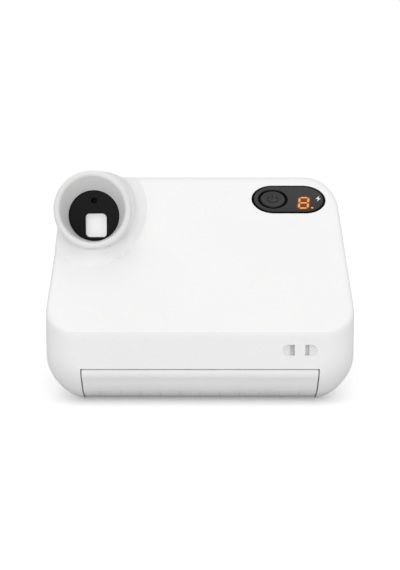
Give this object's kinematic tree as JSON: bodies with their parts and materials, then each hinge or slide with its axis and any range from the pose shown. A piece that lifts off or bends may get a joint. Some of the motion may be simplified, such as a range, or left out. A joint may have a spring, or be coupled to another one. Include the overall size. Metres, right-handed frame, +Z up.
{
  "type": "instant camera",
  "caption": "Compact instant camera with a wedge back, round viewfinder barrel, control panel, film door underneath and motor-driven film rollers in the chin.",
  "frame": {"origin": "centre of the camera's footprint, on the plane it stands on", "axes": "+X to the right seen from behind, +Y the way the lens looks, +Z up"},
  "size_m": [0.0826, 0.105, 0.062],
  "materials": {
    "white_shell": "fine matt moulded ABS",
    "soft_white": "satin soft-touch plastic",
    "gloss_black": "polished",
    "matt_black": "matt",
    "white_print": "smooth",
    "orange_light": "lit light guide",
    "red_button": "satin",
    "clear_glass": "clear, coated",
    "mirror": "silvered",
    "steel": "turned and stamped",
    "board_green": "solder-masked board",
    "acetal": "moulded gear plastic",
    "soft_rubber": "matt film"
  },
  "bodies": {
    "camera_body": {"control_panel": "gloss_black", "power_switch": "steel", "digit_light_guide": "orange_light", "charge_symbol": "white_print", "display_module": "matt_black", "control_pcb": "board_green", "rear_cover": "white_shell", "front_cover": "white_shell", "film_chamber": "matt_black", "door_hinge_pin": "steel", "case_screw_1": "steel", "case_screw_2": "steel", "case_screw_3": "steel", "case_screw_4": "steel", "eyepiece_cup": "soft_white", "eyepiece_plate": "matt_black", "eyepiece_lens": "clear_glass", "viewfinder_tube": "matt_black", "viewfinder_front_lens": "clear_glass", "selfie_mirror": "mirror", "mirror_box": "matt_black", "mirror": "mirror", "lens_bezel": "gloss_black", "lens_barrel": "matt_black", "front_lens": "clear_glass", "rear_lens": "clear_glass", "shutter_plate": "matt_black", "light_sensor": "gloss_black", "distance_sensor": "gloss_black", "flash_window": "clear_glass", "flash_reflector": "mirror", "flash_tube": "clear_glass", "flash_capacitor": "matt_black", "shutter_solenoid": "steel", "battery": "matt_black", "main_pcb": "board_green", "usb_socket": "steel", "shutter_switch": "steel", "flash_switch": "steel", "roller_bracket": "steel", "motor": "steel"},
    "power_button": {"power_button": "matt_black"},
    "shutter_button": {"shutter_button": "red_button"},
    "flash_button": {"flash_button": "soft_white"},
    "film_door": {"film_door": "white_shell", "door_liner": "matt_black"},
    "latch": {"latch_slider": "soft_white"},
    "upper_roller": {"upper_roller": "steel"},
    "lower_roller": {"lower_roller": "steel"},
    "idler": {"idler_gear": "acetal"},
    "pinion": {"motor_pinion": "acetal"},
    "shutter_blade": {"shutter_blade": "steel"},
    "film_shield": {"film_shield": "soft_rubber"}
  },
  "joints": [
    {"name": "power_button_press", "type": "slide", "parent": "camera_body", "child": "power_button", "axis": [0, 0.6266, -0.7793], "range_m": [0, 0.0006], "stiffness_N_per_m": 800},
    {"name": "shutter_button_press", "type": "slide", "parent": "camera_body", "child": "shutter_button", "axis": [0, 0, -1], "range_m": [0, 0.001], "stiffness_N_per_m": 900},
    {"name": "flash_button_press", "type": "slide", "parent": "camera_body", "child": "flash_button", "axis": [0, 0, -1], "range_m": [0, 0.0008], "stiffness_N_per_m": 800},
    {"name": "film_door_hinge", "type": "hinge", "parent": "camera_body", "child": "film_door", "pos_m": [0, 0.0315, 0.0024], "axis": [1, 0, 0], "range_deg": [0, 95]},
    {"name": "latch_slide", "type": "slide", "parent": "camera_body", "child": "latch", "axis": [0, 1, 0], "range_m": [0, 0.003], "stiffness_N_per_m": 200},
    {"name": "lower_roller_spin", "type": "hinge", "parent": "camera_body", "child": "lower_roller", "pos_m": [0, 0.0425, 0.0129], "axis": [1, 0, 0], "continuous": true},
    {"name": "upper_roller_spin", "type": "hinge", "parent": "camera_body", "child": "upper_roller", "pos_m": [0, 0.0425, 0.0199], "axis": [1, 0, 0], "continuous": true},
    {"name": "idler_spin", "type": "hinge", "parent": "camera_body", "child": "idler", "pos_m": [0.0357, 0.03152, 0.01649], "axis": [1, 0, 0], "continuous": true},
    {"name": "pinion_spin", "type": "hinge", "parent": "camera_body", "child": "pinion", "pos_m": [0.0357, 0.0245, 0.0243], "axis": [1, 0, 0], "continuous": true},
    {"name": "shutter_blade_swing", "type": "hinge", "parent": "camera_body", "child": "shutter_blade", "pos_m": [0.0086, 0.01815, 0.0355], "axis": [0, 1, 0], "range_deg": [0, 70], "stiffness_Nm_per_rad": 0.002},
    {"name": "film_shield_flap", "type": "hinge", "parent": "camera_body", "child": "film_shield", "pos_m": [0, 0.0479, 0.02], "axis": [1, 0, 0], "range_deg": [0, 25]}
  ],
  "couplings": [
    {"joint": "upper_roller_spin", "follows": "lower_roller_spin", "ratio": -1},
    {"joint": "idler_spin", "follows": "lower_roller_spin", "ratio": 0.4375},
    {"joint": "pinion_spin", "follows": "lower_roller_spin", "ratio": -1.4}
  ]
}
